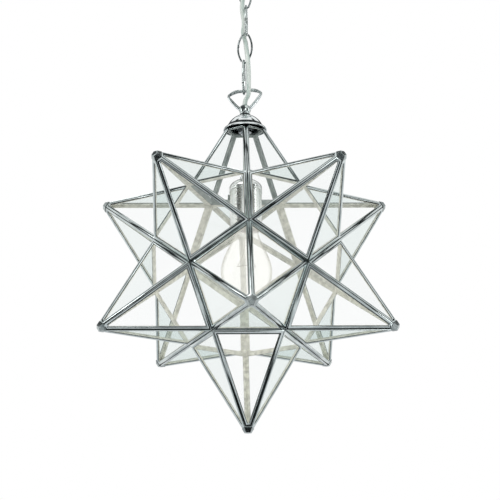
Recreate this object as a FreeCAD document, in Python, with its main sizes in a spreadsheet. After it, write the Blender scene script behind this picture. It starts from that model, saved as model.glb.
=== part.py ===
"""Moravian star pendant light, in millimetres, +Z up.

The origin is the centre of the ceiling plane. Heights inside the star are given above the star's
centre, which hangs a drop below that plane. The star is a small stellated dodecahedron: twelve
five-sided spikes on a dodecahedral core, each spike five framed panes of clear glass.
"""

import FreeCAD, Part

import math
import os

import Sketcher

Vector = FreeCAD.Vector
Rotation = FreeCAD.Rotation
Placement = FreeCAD.Placement

doc = FreeCAD.newDocument("moravian_star_pendant")
sheet = doc.addObject("Spreadsheet::Sheet", "Sizes")


class Size:
    """A number that keeps the sheet formula that it comes from."""

    def __init__(self, value, formula):
        self.value = float(value)
        self.formula = formula

    @staticmethod
    def of(number):
        """Returns the number as a Size."""
        if isinstance(number, Size):
            return number
        return Size(number, f"({float(number):.9f})")

    def combine(self, other, sign, value):
        """Returns the Size of a formula with another number."""
        return Size(value, f"({self.formula} {sign} {Size.of(other).formula})")

    def __add__(self, other):
        return self.combine(other, "+", self.value + Size.of(other).value)

    def __sub__(self, other):
        return self.combine(other, "-", self.value - Size.of(other).value)

    def __mul__(self, other):
        return self.combine(other, "*", self.value * Size.of(other).value)

    def __truediv__(self, other):
        return self.combine(other, "/", self.value / Size.of(other).value)

    def __radd__(self, other):
        return Size.of(other) + self

    def __rsub__(self, other):
        return Size.of(other) - self

    def __rmul__(self, other):
        return Size.of(other) * self

    def __neg__(self):
        return Size.of(0) - self


class Dimensions:
    """The driving dimensions, one sheet row each."""

    def __init__(self):
        self.row = 0

    def add(self, alias, value, note):
        """Adds a row and makes it an attribute of this object.

        Args:
            alias: The name of the cell.
            value: The size in millimetres, or in degrees for an angle.
            note: What the size measures.
        """
        self.row += 1
        sheet.set(f"A{self.row}", note)
        sheet.set(f"B{self.row}", str(value))
        sheet.setAlias(f"B{self.row}", alias)
        setattr(self, alias, Size(value, f"Sizes.{alias}"))


D = Dimensions()

# The star
D.add("drop", 405.0, "ceiling plane to the star's centre")
D.add("reach", 205.0, "star's centre to the point where a spike's ridges would meet")
D.add("tip_cut", 12.0, "length of spike that the tip cap replaces")
D.add("tip_nose", 6.5, "distance from the ridges' meeting point to the tip cap's end")
D.add("frame_deep", 3.2, "thickness of a pane's frame")
D.add("frame_wide", 5.0, "width of a pane's frame")
D.add("flange_thick", 0.6, "metal in front of the glass")
D.add("glass_thick", 2.0, "thickness of a pane")
D.add("seat_inset", 2.5, "edge of a pane's frame to the bottom of its groove")
D.add("glass_gap", 0.2, "edge of the glass to the bottom of the groove")
D.add("door_gap", 0.4, "gap along the base of the spike that opens")
D.add("cap_plane", 166.0, "height where the top spike is cut off")

# The hanger on the star
D.add("ball_radius", 7.0, "hanger ball")
D.add("ball_level", 191.0, "height of the hanger ball")
D.add("cable_hole", 3.3, "radius of the cable's way through the hanger")
D.add("bail_bar", 1.95, "radius of the bail's bar")
D.add("bail_level", 214.4, "height of the bail's crown")
D.add("bail_turn", -17.0, "turn of the bail about the vertical, in degrees")
D.add("tube_radius", 5.0, "stem tube")
D.add("tube_bore", 3.4, "bore of the stem tube")
D.add("tube_low", 160.0, "lower end of the stem tube")
D.add("tube_high", 184.0, "upper end of the stem tube")
D.add("dome_wall", 1.2, "sheet of the star's cap")
D.add("spider_thick", 1.5, "plate under the star's cap")

# The chain and the cable
D.add("wire_radius", 1.15, "chain wire")
D.add("link_half_width", 8.3, "widest half width of a link's centreline")
D.add("link_end", 3.6, "radius of a link's end arcs, on the centreline")
D.add("link_length", 40.5, "outer length of a link")
D.add("first_link_length", 45.05, "outer length of the lowest link")
D.add("cable_radius", 2.7, "flex")

# The ceiling fitting
D.add("hook_level", 356.3, "height of the ceiling loop's bar")
D.add("hook_radius", 8.0, "ceiling loop's round, on the centreline")
D.add("hook_wire", 1.8, "ceiling loop's bar")
D.add("collar_radius", 11.0, "ceiling loop's collar")
D.add("collar_level", 372.0, "lower face of the collar")
D.add("canopy_radius", 50.0, "canopy cup")
D.add("canopy_low", 377.0, "lower face of the canopy cup")
D.add("canopy_wall", 1.2, "sheet of the canopy cup")
D.add("nipple_radius", 5.0, "threaded nipple")
D.add("nipple_bore", 3.7, "bore of the nipple")
D.add("plate_level", 389.0, "lower face of the bracket's middle")
D.add("strap_thick", 2.0, "bracket strap")
D.add("strap_wide", 18.0, "width of the bracket strap")
D.add("screw_spacing", 72.0, "between the ceiling screws")
D.add("screw_hole", 2.25, "radius of the bracket's screw holes")

# The lampholder and the bulb
D.add("holder_radius", 19.25, "lampholder")
D.add("holder_low", 42.0, "mouth of the lampholder")
D.add("holder_shoulder", 92.0, "where the lampholder's cover begins")
D.add("holder_top", 103.7, "top of the lampholder's cover")
D.add("grip_top", 115.0, "top of the cable grip")
D.add("shell_bore", 13.4, "inside of the lampholder's threaded shell")
D.add("bulb_radius", 30.0, "bulb")
D.add("bulb_level", -10.0, "height of the bulb's widest part")
D.add("neck_radius", 14.0, "bulb's neck")
D.add("neck_level", 41.0, "where the bulb's glass meets its cap")
D.add("bulb_wall", 0.8, "glass of the bulb")
D.add("bulb_cap_radius", 13.0, "bulb's screw cap")
D.add("bulb_cap_top", 66.0, "upper end of the screw cap")

GOLDEN = (1 + math.sqrt(5)) / 2
SPIKE_HEIGHT = math.sqrt((5 + 2 * math.sqrt(5)) / 5)
INRADIUS = GOLDEN**2 / (2 * math.sqrt(3 - GOLDEN))
EDGE = D.reach / (SPIKE_HEIGHT + INRADIUS)
SLANT = EDGE * (GOLDEN * math.cos(math.radians(18)))
MITRE = 1 / GOLDEN
HALF_TIP = math.radians(18)
AXIAL = math.cos(math.atan(0.5))

SUBPARTS = []


def keep(piece, label, across=0, back=0, height=0, turn=None):
    """Names a sub-part and puts it in its place.

    Args:
        piece: The document object.
        label: The node's name.
        across: Place along X.
        back: Place along Y.
        height: Place above the star's centre.
        turn: Rotation of the piece, if it has one.

    Returns:
        The document object.
    """
    piece.Label = label
    spot = [Size.of(across), Size.of(back), Size.of(height) - D.drop]
    base = Vector(*[size.value for size in spot])
    piece.Placement = Placement(base, turn or Rotation())
    for axis, size in zip("xyz", spot):
        piece.setExpression(f"Placement.Base.{axis}", size.formula)
    SUBPARTS.append(piece)
    return piece


def place_inside(piece, spot, turn=None):
    """Places an ingredient of a boolean at a spot of three sizes."""
    sizes = [Size.of(size) for size in spot]
    piece.Placement = Placement(Vector(*[size.value for size in sizes]), turn or Rotation())
    for axis, size in zip("xyz", sizes):
        piece.setExpression(f"Placement.Base.{axis}", size.formula)
    return piece


def bound(piece, **sizes):
    """Binds properties of a document object to sizes."""
    for name, size in sizes.items():
        size = Size.of(size)
        setattr(piece, name, size.value)
        piece.setExpression(name, size.formula)
    return piece


def rod(name, radius, length, spot=(0, 0, 0), turn=None):
    """Returns a cylinder along its own Z."""
    piece = doc.addObject("Part::Cylinder", name)
    return place_inside(bound(piece, Radius=radius, Height=length), spot, turn)


def block(name, long, wide, high, spot=(0, 0, 0), turn=None):
    """Returns a box from its corner."""
    piece = doc.addObject("Part::Box", name)
    return place_inside(bound(piece, Length=long, Width=wide, Height=high), spot, turn)


def ball(name, radius, spot=(0, 0, 0)):
    """Returns a sphere."""
    piece = doc.addObject("Part::Sphere", name)
    return place_inside(bound(piece, Radius=radius), spot)


def taper(name, low_radius, high_radius, length, spot=(0, 0, 0)):
    """Returns a cone frustum along Z."""
    piece = doc.addObject("Part::Cone", name)
    return place_inside(bound(piece, Radius1=low_radius, Radius2=high_radius, Height=length), spot)


def fused(name, pieces):
    """Returns the union of several objects."""
    piece = doc.addObject("Part::MultiFuse", name)
    piece.Shapes = pieces
    piece.Refine = True
    return piece


def cut(name, base, tool):
    """Returns the base without the tool."""
    piece = doc.addObject("Part::Cut", name)
    piece.Base = base
    piece.Tool = tool
    return piece


def origin_plane(body, role):
    """Returns one of a body's own origin planes."""
    for feature in body.Origin.OriginFeatures:
        if feature.Role == role:
            return feature
    raise ValueError(role)


def sketch_on(body, role, name, lift=0):
    """Returns a new sketch on a plane of the body, lifted along the plane's normal."""
    sketch = body.newObject("Sketcher::SketchObject", name)
    sketch.AttachmentSupport = [(origin_plane(body, role), "")]
    sketch.MapMode = "FlatFace"
    lift = Size.of(lift)
    sketch.AttachmentOffset = Placement(Vector(0, 0, lift.value), Rotation())
    sketch.setExpression("AttachmentOffset.Base.z", lift.formula)
    return sketch


def pin_point(sketch, geometry, vertex, point):
    """Holds a sketch vertex at a point of two sizes."""
    for kind, axis, size in (("DistanceX", -2, point[0]), ("DistanceY", -1, point[1])):
        size = Size.of(size)
        if abs(size.value) < 1e-9:
            sketch.addConstraint(Sketcher.Constraint("PointOnObject", geometry, vertex, axis))
            continue
        if size.value > 0:
            ends = (-1, 1, geometry, vertex)
        else:
            ends = (geometry, vertex, -1, 1)
            size = -size
        index = sketch.addConstraint(Sketcher.Constraint(kind, *ends, size.value))
        sketch.setExpression(f"Constraints[{index}]", size.formula)


def outline(sketch, points):
    """Draws a closed outline through points of two sizes each."""
    start = sketch.GeometryCount
    spots = [Vector(Size.of(x).value, Size.of(y).value, 0) for x, y in points]
    count = len(points)
    for index in range(count):
        sketch.addGeometry(Part.LineSegment(spots[index], spots[(index + 1) % count]), False)
    for index in range(count):
        following = start + (index + 1) % count
        sketch.addConstraint(Sketcher.Constraint("Coincident", start + index, 2, following, 1))
    for index in range(count):
        pin_point(sketch, start + index, 1, points[index])


def hole(sketch, centre, radius):
    """Draws a circle."""
    spot = Vector(Size.of(centre[0]).value, Size.of(centre[1]).value, 0)
    radius = Size.of(radius)
    index = sketch.addGeometry(Part.Circle(spot, Vector(0, 0, 1), radius.value), False)
    constraint = sketch.addConstraint(Sketcher.Constraint("Radius", index, radius.value))
    sketch.setExpression(f"Constraints[{constraint}]", radius.formula)
    pin_point(sketch, index, 3, centre)


def turned(name, profile):
    """Returns a body turned about its Z axis.

    Args:
        name: The name of the body.
        profile: Points of radius and height, in order round the section.
    """
    body = doc.addObject("PartDesign::Body", name)
    sketch = sketch_on(body, "XZ_Plane", name + "_section")
    outline(sketch, profile)
    feature = body.newObject("PartDesign::Revolution", name + "_turned")
    feature.Profile = sketch
    feature.ReferenceAxis = (sketch, ["V_Axis"])
    feature.Angle = 360.0
    return body


def padded(name, role, points, length, holes=(), midplane=False):
    """Returns a body made of one outline, with round holes, given a thickness."""
    body = doc.addObject("PartDesign::Body", name)
    sketch = sketch_on(body, role, name + "_outline")
    outline(sketch, points)
    for centre, radius in holes:
        hole(sketch, centre, radius)
    feature = body.newObject("PartDesign::Pad", name + "_pad")
    feature.Profile = sketch
    bound(feature, Length=length)
    if midplane:
        feature.SideType = "Symmetric"
    return body


def pipe_route(points, radius_of=None):
    """Returns the wire of a route, its corners rounded, and the radii of its corners.

    Args:
        points: The route's points.
        radius_of: A radius for every corner; else each is as large as its runs allow.
    """
    edges = []
    radii = []
    start = points[0]
    for before, corner, after in zip(points, points[1:], points[2:]):
        run_in = corner - before
        run_out = after - corner
        turn = run_in.getAngle(run_out)
        reach = 0.45 * min(run_in.Length, run_out.Length)
        if radius_of:
            reach = min(reach, radius_of * math.tan(turn / 2))
        direction_in = Vector(run_in).normalize()
        direction_out = Vector(run_out).normalize()
        first = corner - direction_in * reach
        last = corner + direction_out * reach
        radius = reach / math.tan(turn / 2)
        inward = (direction_out - direction_in).normalize()
        middle = corner + inward * (radius / math.cos(turn / 2) - radius)
        edges.append(Part.LineSegment(start, first).toShape())
        edges.append(Part.Arc(first, middle, last).toShape())
        radii.append(radius)
        start = last
    edges.append(Part.LineSegment(start, points[-1]).toShape())
    return Part.Wire(edges), radii


def pipe(points, radius, radius_of=None):
    """Returns a round bar along a route and the radii of its corners."""
    wire, radii = pipe_route(points, radius_of)
    normal = (points[1] - points[0]).normalize()
    section = Part.Wire([Part.Circle(points[0], normal, radius).toShape()])
    solid = wire.makePipeShell([section], True, False)
    return solid, radii


def shaped(label, shape, **spot):
    """Returns a sub-part whose shape is set here, at a spot that keep takes."""
    piece = doc.addObject("Part::Feature", label)
    piece.Shape = shape
    return keep(piece, label, **spot)


def hexagon(across_corners):
    """Returns the corners of a nut."""
    corners = []
    for step in range(6):
        around = math.radians(60 * step)
        reach = across_corners / 2
        corners.append((reach * math.cos(around), reach * math.sin(around)))
    return corners


# ---------------------------------------------------------------- the spikes


def trapezoid(low, high, inset):
    """Returns the four corners of a pane's outline, its sides moved in by an inset."""
    corners = []
    for level in (low, high):
        half = (SLANT - level) * math.tan(HALF_TIP) - inset * (1 / math.cos(HALF_TIP))
        corners.append((half, Size.of(level)))
    (low_half, low), (high_half, high) = corners
    return [(-low_half, low), (low_half, low), (high_half, high), (-high_half, high)]


def pane_frame(name, top, base_gap):
    """Returns one pane's mitred frame, its outer face on the XY plane and its base on X.

    Args:
        name: The name of the body.
        top: Height of the outer face, from the valley at its base.
        base_gap: Gap left along the valley.
    """
    body = doc.addObject("PartDesign::Body", name)
    face = sketch_on(body, "XY_Plane", name + "_face")
    outline(face, trapezoid(base_gap, top, 0))
    back = sketch_on(body, "XY_Plane", name + "_back", -D.frame_deep)
    recede = D.frame_deep * MITRE
    outline(back, trapezoid(base_gap - recede, top + D.frame_deep * 0.5, recede))
    loft = body.newObject("PartDesign::AdditiveLoft", name + "_bar")
    loft.Profile = face
    loft.Sections = [back]
    loft.Ruled = True
    doc.recompute()
    full = loft.Shape.Volume
    opening = sketch_on(body, "XY_Plane", name + "_opening")
    outline(opening, trapezoid(D.frame_wide, top - D.frame_wide, D.frame_wide))
    through = body.newObject("PartDesign::Pocket", name + "_through")
    through.Profile = opening
    bound(through, Length=D.frame_deep * 2)
    doc.recompute()
    open_volume = through.Shape.Volume
    seat = sketch_on(body, "XY_Plane", name + "_seat", -D.flange_thick)
    outline(seat, trapezoid(D.seat_inset, top - D.seat_inset, D.seat_inset))
    groove = body.newObject("PartDesign::Pocket", name + "_groove")
    groove.Profile = seat
    bound(groove, Length=D.glass_thick)
    doc.recompute()
    print(name, "volumes", round(full), round(open_volume), round(groove.Shape.Volume))
    return body


def pane_glass(name, top):
    """Returns one pane of glass, lying in its frame's groove."""
    body = doc.addObject("PartDesign::Body", name)
    inset = D.seat_inset + D.glass_gap
    sketch = sketch_on(body, "XY_Plane", name + "_face", -(D.flange_thick + D.glass_thick))
    outline(sketch, trapezoid(inset, top - inset, inset))
    pad = body.newObject("PartDesign::Pad", name + "_pane")
    pad.Profile = sketch
    bound(pad, Length=D.glass_thick)
    doc.recompute()
    return body


def direction_of(azimuth, rise):
    """Returns a unit vector; azimuth 0 is the front, -Y, and 90 is +X."""
    around = math.radians(azimuth)
    flat = math.sqrt(1 - rise * rise)
    return Vector(flat * math.sin(around), -flat * math.cos(around), rise)


RISE = 1 / math.sqrt(5)
UP = Vector(0, 0, 1)
DOWN = Vector(0, 0, -1)
SPIKES = {
    "top": (UP, direction_of(180, RISE)),
    "upper_front_left": (direction_of(-36, RISE), UP),
    "upper_front_right": (direction_of(36, RISE), UP),
    "upper_left": (direction_of(-108, RISE), UP),
    "upper_right": (direction_of(108, RISE), UP),
    "upper_rear": (direction_of(180, RISE), UP),
    "lower_front": (direction_of(0, -RISE), DOWN),
    "lower_left": (direction_of(-72, -RISE), DOWN),
    "lower_right": (direction_of(72, -RISE), DOWN),
    "lower_rear_left": (direction_of(-144, -RISE), DOWN),
    "lower_rear_right": (direction_of(144, -RISE), DOWN),
    "bottom": (DOWN, direction_of(0, -RISE)),
}


def axes_placement(origin, y_axis, z_axis):
    """Returns the placement whose Y and Z axes point as given."""
    x_axis = y_axis.cross(z_axis)
    return Placement(origin, Rotation(x_axis, y_axis, z_axis, "ZXY"))


def five_round(shape):
    """Returns five copies of a pane's shape, each on its side of a spike that points along Z."""
    inradius = EDGE.value * INRADIUS
    apothem = EDGE.value / (2 * math.tan(math.radians(36)))
    apex = Vector(0, 0, D.reach.value)
    copies = []
    for step in range(5):
        around = math.radians(90 + 72 * step)
        outward = Vector(math.cos(around), math.sin(around), 0)
        normal = outward * math.sqrt(1 - RISE * RISE) + UP * RISE
        middle = outward * apothem + UP * inradius
        upward = (apex - middle).normalize()
        copy = shape.copy()
        copy.Placement = axes_placement(middle, upward, normal)
        copies.append(copy)
    return copies


def pentagon(radius, level):
    """Returns a five-sided wire across a spike's axis, its corners on the ridges."""
    corners = []
    for step in range(6):
        around = math.radians(90 + 36 + 72 * step)
        corners.append(Vector(radius * math.cos(around), radius * math.sin(around), level))
    return Part.makePolygon(corners)


def tip_shape():
    """Returns a tip cap on a spike that points along Z."""
    ridge = EDGE.value / (2 * math.sin(math.radians(36))) / (EDGE.value * SPIKE_HEIGHT)
    low = D.tip_cut.value
    high = D.tip_nose.value
    reach = D.reach.value
    wires = [pentagon(ridge * low, reach - low), pentagon(ridge * high, reach - high)]
    cap = Part.makeLoft(wires, True, True)
    nose = [edge for edge in cap.Edges if abs(edge.CenterOfMass.z - (reach - high)) < 0.01]
    return cap.makeFillet(0.9, nose)


def build_star():
    """Makes the frames, the glass and the tip caps of the twelve spikes."""
    slant_of = 1 / AXIAL
    whole = SLANT - D.tip_cut * slant_of
    clipped = SLANT - (D.reach - D.cap_plane) * slant_of
    frames = {
        "whole": pane_frame("pane_frame", whole, 0),
        "top": pane_frame("top_pane_frame", clipped, 0),
        "upper_rear": pane_frame("door_pane_frame", whole, D.door_gap),
    }
    glass = {"whole": pane_glass("pane_glass", whole), "top": pane_glass("top_pane_glass", clipped)}
    caps = []
    for name, (direction, neighbour) in SPIKES.items():
        level = neighbour - direction * neighbour.dot(direction)
        turn = axes_placement(Vector(), level.normalize(), direction).Rotation
        frame = frames.get(name, frames["whole"])
        pane = glass.get(name, glass["whole"])
        shaped(f"frame_{name}", Part.makeCompound(five_round(frame.Shape)), turn=turn)
        shaped(f"glass_{name}", Part.makeCompound(five_round(pane.Shape)), turn=turn)
        if name == "upper_rear":
            shaped("door_tip_cap", tip_shape(), turn=turn)
        elif name != "top":
            cap = tip_shape()
            cap.Placement = Placement(Vector(), turn)
            caps.append(cap)
    shaped("tip_caps", Part.makeCompound(caps))


# ---------------------------------------------------------------- the door's hinge

PIN_OUT = 3.0
PIN_RADIUS = 1.0
KNUCKLE_RADIUS = 2.2
LEAF_THICK = 0.8
LEAF_LONG = 9.0
KNUCKLE_HALF = 8.0
HINGE_HALF = 20.0
SIDE_GAP = 0.3
PIN_PLAY = 0.08


def leaf(start, stop, bore, side):
    """Returns a knuckle along X with its leaf on one of the two panes beside a valley.

    The local Z axis points out of the valley; the panes fall away from it on both sides.
    Side is +1 for the pane towards +Y and -1 for the other.
    """
    half_valley = math.radians(90) - math.atan(MITRE)
    reach = PIN_OUT * math.sin(half_valley)
    out = Vector(0, side * math.sin(half_valley), math.cos(half_valley))
    normal = Vector(0, -side * math.cos(half_valley), math.sin(half_valley))
    foot = normal * -reach
    corners = [
        foot + normal * LEAF_THICK,
        foot + out * LEAF_LONG + normal * LEAF_THICK,
        foot + out * LEAF_LONG,
        foot + out * 1.2,
    ]
    plate = Part.Face(Part.makePolygon(corners + [corners[0]]))
    plate.translate(Vector(start, 0, 0))
    plate = plate.extrude(Vector(stop - start, 0, 0))
    along = Vector(1, 0, 0)
    knuckle = Part.makeCylinder(KNUCKLE_RADIUS, stop - start, Vector(start, 0, 0), along)
    way = Part.makeCylinder(bore, stop - start, Vector(start, 0, 0), along)
    return plate.fuse(knuckle).cut(way).removeSplitter()


def build_hinge():
    """Makes the hinge between the top spike and the upper rear spike."""
    apothem = EDGE / (2 * math.tan(math.radians(36)))
    inradius = EDGE * INRADIUS
    out = Vector(0, apothem.value, inradius.value).normalize()
    turn = Rotation(Vector(1, 0, 0), -math.degrees(math.atan2(out.y, out.z)))
    spot = {"back": apothem + PIN_OUT * out.y, "height": inradius + PIN_OUT * out.z, "turn": turn}
    fixed = [
        leaf(-HINGE_HALF, -KNUCKLE_HALF, PIN_RADIUS, -1),
        leaf(KNUCKLE_HALF, HINGE_HALF, PIN_RADIUS, -1),
    ]
    pieces = {
        "hinge_fixed_leaf": Part.makeCompound(fixed),
        "hinge_door_leaf": leaf(
            SIDE_GAP - KNUCKLE_HALF, KNUCKLE_HALF - SIDE_GAP, PIN_RADIUS + PIN_PLAY, 1
        ),
        "hinge_pin": Part.makeCylinder(
            PIN_RADIUS, 2 * HINGE_HALF, Vector(-HINGE_HALF, 0, 0), Vector(1, 0, 0)
        ),
    }
    for label, shape in pieces.items():
        shaped(label, shape, **spot)


# ---------------------------------------------------------------- the hanger on the star


def build_hanger():
    """Makes the bail with its ball, the stem tube, the cap and what holds them on the star."""
    low = D.ball_level.value
    crown = D.bail_level.value
    half = [
        Vector(4.2, 0, low - 0.4),
        Vector(6.8, 0, low + 1.6),
        Vector(11.2, 0, low + 6.0),
        Vector(15.8, 0, low + 11.5),
        Vector(20.9, 0, crown - 4.9),
        Vector(13.0, 0, crown - 0.9),
    ]
    route = half + [Vector(0, 0, crown + 0.55)]
    route += [Vector(-point.x, 0, point.z) for point in reversed(half)]
    loop, radii = pipe(route, D.bail_bar.value, 9.0)
    print("bail radii", [round(radius, 1) for radius in radii])
    foot = D.tube_high.value
    ball_part = Part.makeSphere(D.ball_radius.value, Vector(0, 0, low))
    neck = Part.makeCylinder(D.tube_radius.value, low - foot, Vector(0, 0, foot))
    casting = loop.fuse([ball_part, neck])
    way = Part.makeCylinder(D.cable_hole.value, 30, Vector(0, 0, foot - 1))
    screw_way = Part.makeCylinder(1.6, 8, Vector(0, -8, low + 0.5), Vector(0, 1, 0))
    casting = casting.cut(way).cut(screw_way).removeSplitter()
    turn = Rotation(UP, D.bail_turn.value)
    shaped("hanger_bail", casting, turn=turn)
    head = rod("screw_head", 2.6, 1.4, (0, 0, 0))
    shank = rod("screw_shank", 1.55, 3.4, (0, 0, 1.4))
    slot = block("screw_slot", 6, 0.8, 0.6, (-3, -0.4, -0.01))
    screw = cut("screw_slotted", fused("screw_whole", [head, shank]), slot)
    spin = turn * Rotation(Vector(1, 0, 0), -90)
    spot = turn * Vector(0, -8.45, 0)
    keep(screw, "clamp_screw", spot.x, spot.y, D.ball_level + 0.5, spin)

    tube = turned(
        "stem",
        [
            (D.tube_bore, 0),
            (D.tube_radius, 0),
            (D.tube_radius, D.tube_high - D.tube_low),
            (D.tube_bore, D.tube_high - D.tube_low),
        ],
    )
    keep(tube, "stem_tube", height=D.tube_low)

    wall = D.dome_wall
    outer = [
        (26.0, 165.2),
        (24.8, 167.5),
        (22.3, 170.2),
        (20.2, 174.6),
        (17.4, 177.0),
        (10.5, 181.9),
        (5.1, 183.8),
    ]
    floor = outer[0][1]
    profile = [(radius, level - floor) for radius, level in outer]
    inner = [(radius - wall, level - floor - wall * 0.6) for radius, level in outer[1:-1]]
    inner.insert(0, (outer[0][0] - wall, 0))
    inner.append((5.1, outer[-1][1] - floor - wall))
    dome = turned("dome", profile + inner[::-1])
    keep(dome, "cap_dome", height=floor)

    plate = doc.addObject("PartDesign::Body", "spider")
    sketch = sketch_on(plate, "XY_Plane", "spider_ring")
    hole(sketch, (0, 0), 19.2)
    hole(sketch, (0, 0), 15.8)
    ring = plate.newObject("PartDesign::Pad", "spider_ring_pad")
    ring.Profile = sketch
    bound(ring, Length=D.spider_thick)
    sketch = sketch_on(plate, "XY_Plane", "spider_arm")
    outline(sketch, [(-2.5, 7.0), (2.5, 7.0), (2.5, 17.0), (-2.5, 17.0)])
    arm = plate.newObject("PartDesign::Pad", "spider_arm_pad")
    arm.Profile = sketch
    bound(arm, Length=D.spider_thick)
    pattern = plate.newObject("PartDesign::PolarPattern", "spider_arms")
    pattern.Originals = [arm]
    pattern.Axis = (sketch, ["N_Axis"])
    pattern.Angle = 360.0
    pattern.Occurrences = 3
    plate.Tip = pattern
    sketch = sketch_on(plate, "XY_Plane", "spider_hub")
    hole(sketch, (0, 0), 9.0)
    hole(sketch, (0, 0), D.tube_radius)
    hub = plate.newObject("PartDesign::Pad", "spider_hub_pad")
    hub.Profile = sketch
    bound(hub, Length=D.spider_thick)
    keep(plate, "spider_plate", height=D.cap_plane)

    nut = padded("stem_lock", "XY_Plane", hexagon(16.0), 4.0, [((0, 0), D.tube_radius)])
    keep(nut, "stem_nut", height=D.tube_low + 2.0)


# ---------------------------------------------------------------- the chain


def link_shape(length):
    """Returns a link standing on the XY plane in the XZ plane: four tangent arcs of wire."""
    wire = D.wire_radius.value
    small = D.link_end.value
    wide = D.link_half_width.value
    rise = length / 2 - wire - small
    large = (wide**2 + rise**2 - small**2) / (2 * (wide - small))
    middle = length / 2
    share = math.atan2(rise, large - wide)
    normal = Vector(0, 1, 0)
    pieces = []
    for side in (1, -1):
        centre = Vector(-side * (large - wide), 0, middle)
        start = Vector(side * wide, 0, middle)
        disc = Part.Face(Part.Wire([Part.Circle(start, UP, wire).toShape()]))
        disc.rotate(centre, normal, -math.degrees(share))
        pieces.append(disc.revolve(centre, normal, 2 * math.degrees(share)))
        end = Vector(0, 0, middle + side * rise)
        tip = Vector(0, 0, middle + side * (rise + small))
        disc = Part.Face(Part.Wire([Part.Circle(tip, Vector(1, 0, 0), wire).toShape()]))
        sweep = math.degrees(share)
        disc.rotate(end, normal, -sweep)
        pieces.append(disc.revolve(end, normal, 2 * sweep))
    return pieces[0].fuse(pieces[1:]).removeSplitter()


# Each link: its outer length, the X of its lower and upper end, the height of its lower end, and
# its turn about the vertical.
LINKS = (
    (D.first_link_length, -1.1, -0.6, 209.85, 80.0),
    (D.link_length, -0.5, 2.1, 249.8, 0.0),
    (D.link_length, 2.5, 2.7, 285.2, 82.0),
    (D.link_length, 2.7, -0.2, 320.5, 25.0),
)


def build_chain():
    """Makes the four links between the star's bail and the ceiling loop."""
    for number, (length, low, high, level, turn) in enumerate(LINKS, start=1):
        lean = math.degrees(math.asin((high - low) / length.value))
        spin = Rotation(Vector(0, 1, 0), lean) * Rotation(UP, turn)
        shaped(f"chain_link_{number}", link_shape(length.value), across=low, height=level, turn=spin)


# ---------------------------------------------------------------- the cable

# The cable's route from the ceiling down to the star: X, Y and the height above the star's centre.
CABLE_UPPER = (
    (0.0, 0.0, 398.0),
    (0.0, 0.0, 384.0),
    (0.5, -0.2, 369.5),
    (5.6, -3.1, 357.5),
    (0.6, -5.8, 346.0),
    (-0.73, -6.23, 336.0),
)
CABLE_LOWER = (
    (-0.73, -6.23, 336.0),
    (-2.2, -6.7, 325.0),
    (-2.3, -3.0, 316.0),
    (0.8, 1.5, 303.0),
    (-1.5, 6.7, 291.0),
    (1.7, 4.6, 281.0),
    (2.5, 0.5, 270.0),
    (3.9, -5.2, 254.5),
    (4.8, -4.9, 236.0),
    (4.5, -7.3, 217.0),
    (4.7, -5.5, 208.0),
    (0.0, 0.0, 202.5),
    (0.0, 0.0, 197.4),
)
CABLE_STEM_LOW = 164.0


def build_cable():
    """Makes the cable's free stretches and the stretch in the stem."""
    radius = D.cable_radius.value
    for label, points in (("cable_upper", CABLE_UPPER), ("cable_lower", CABLE_LOWER)):
        route = [Vector(*point) for point in points]
        solid, radii = pipe(route, radius)
        wire = pipe_route(route)[0]
        expected = math.pi * radius**2 * wire.Length
        shaped(label, solid)
        print(label, "radii", [round(corner, 1) for corner in radii])
        print(label, "length", round(wire.Length, 1), "volume", round(solid.Volume / expected, 4))
    stem = rod("cable_in_stem", D.cable_radius, CABLE_LOWER[-1][2] - CABLE_STEM_LOW)
    keep(stem, "cable_stem", height=CABLE_STEM_LOW)
    inner = rod("cable_in_star", D.cable_radius, CABLE_STEM_LOW - D.grip_top)
    keep(inner, "cable_inner", height=D.grip_top)


# ---------------------------------------------------------------- the ceiling fitting


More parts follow.
